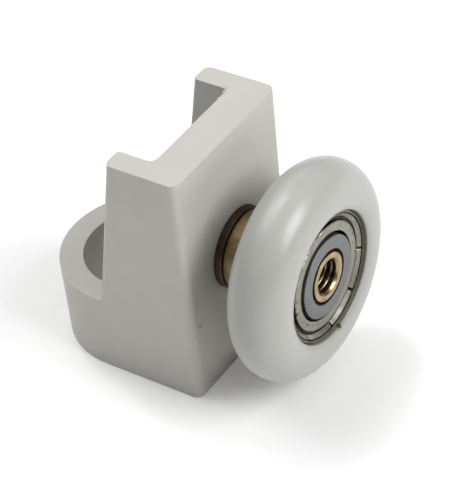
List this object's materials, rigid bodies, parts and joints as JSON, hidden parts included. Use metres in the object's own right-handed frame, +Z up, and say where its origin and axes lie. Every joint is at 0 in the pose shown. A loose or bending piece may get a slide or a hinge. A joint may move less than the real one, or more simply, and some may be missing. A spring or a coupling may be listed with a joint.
{
  "type": "sliding door roller",
  "caption": "Sliding door roller: crowned plastic wheel on a shielded ball bearing and brass bush, on a moulded channel bracket with a post bore.",
  "frame": {"origin": "where the post bore's axis meets the bracket's flat foot", "axes": "+Z up along the post bore; the wheel is on the -Y side with its axle along Y; X runs across the bracket"},
  "size_m": [0.025, 0.0351, 0.03],
  "materials": {
    "bracket_plastic": "satin moulded off-white plastic",
    "tyre_nylon": "glossy slightly translucent white nylon",
    "brass": "turned brass, lightly tarnished",
    "dark_brass": "darkly tarnished turned brass",
    "zinc_steel": "bright zinc plate",
    "dark_steel": "dark sprung steel",
    "ground_steel": "face-ground steel",
    "grimy_steel": "ground steel with old grease in its edges",
    "polished_steel": "polished steel balls",
    "cage_steel": "pressed steel strip",
    "shield_steel": "pressed steel with a thin film of grease"
  },
  "bodies": {
    "carrier": {"bracket": "bracket_plastic", "spacer_washer": "dark_brass", "axle_bush": "brass", "flat_washer": "zinc_steel", "spring_washer": "dark_steel", "mounting_screw": "zinc_steel", "bearing_inner_ring": "ground_steel"},
    "wheel": {"tyre": "tyre_nylon", "bearing_outer_ring": "grimy_steel", "shield_front": "shield_steel", "shield_back": "shield_steel"},
    "cage": {"cage_front": "cage_steel", "cage_back": "cage_steel", "cage_rivets": "cage_steel"},
    "ball_1_body": {"ball_1": "polished_steel"},
    "ball_2_body": {"ball_2": "polished_steel"},
    "ball_3_body": {"ball_3": "polished_steel"},
    "ball_4_body": {"ball_4": "polished_steel"},
    "ball_5_body": {"ball_5": "polished_steel"},
    "ball_6_body": {"ball_6": "polished_steel"},
    "ball_7_body": {"ball_7": "polished_steel"}
  },
  "joints": [
    {"name": "wheel_spin", "type": "hinge", "parent": "carrier", "child": "wheel", "pos_m": [0, -0.0221, 0.015], "axis": [0, -1, 0], "continuous": true},
    {"name": "cage_spin", "type": "hinge", "parent": "carrier", "child": "cage", "pos_m": [0, -0.0221, 0.015], "axis": [0, -1, 0], "continuous": true},
    {"name": "ball_1_spin", "type": "hinge", "parent": "cage", "child": "ball_1_body", "pos_m": [0.00542, -0.0221, 0.015], "axis": [0, -1, 0], "continuous": true},
    {"name": "ball_2_spin", "type": "hinge", "parent": "cage", "child": "ball_2_body", "pos_m": [0.00338, -0.0221, 0.01924], "axis": [0, -1, 0], "continuous": true},
    {"name": "ball_3_spin", "type": "hinge", "parent": "cage", "child": "ball_3_body", "pos_m": [-0.00121, -0.0221, 0.02028], "axis": [0, -1, 0], "continuous": true},
    {"name": "ball_4_spin", "type": "hinge", "parent": "cage", "child": "ball_4_body", "pos_m": [-0.00488, -0.0221, 0.01735], "axis": [0, -1, 0], "continuous": true},
    {"name": "ball_5_spin", "type": "hinge", "parent": "cage", "child": "ball_5_body", "pos_m": [-0.00488, -0.0221, 0.01265], "axis": [0, -1, 0], "continuous": true},
    {"name": "ball_6_spin", "type": "hinge", "parent": "cage", "child": "ball_6_body", "pos_m": [-0.00121, -0.0221, 0.00972], "axis": [0, -1, 0], "continuous": true},
    {"name": "ball_7_spin", "type": "hinge", "parent": "cage", "child": "ball_7_body", "pos_m": [0.00338, -0.0221, 0.01076], "axis": [0, -1, 0], "continuous": true}
  ],
  "couplings": [
    {"joint": "cage_spin", "follows": "wheel_spin", "ratio": 0.6107},
    {"joint": "ball_1_spin", "follows": "wheel_spin", "ratio": 2.1476},
    {"joint": "ball_2_spin", "follows": "wheel_spin", "ratio": 2.1476},
    {"joint": "ball_3_spin", "follows": "wheel_spin", "ratio": 2.1476},
    {"joint": "ball_4_spin", "follows": "wheel_spin", "ratio": 2.1476},
    {"joint": "ball_5_spin", "follows": "wheel_spin", "ratio": 2.1476},
    {"joint": "ball_6_spin", "follows": "wheel_spin", "ratio": 2.1476},
    {"joint": "ball_7_spin", "follows": "wheel_spin", "ratio": 2.1476}
  ]
}
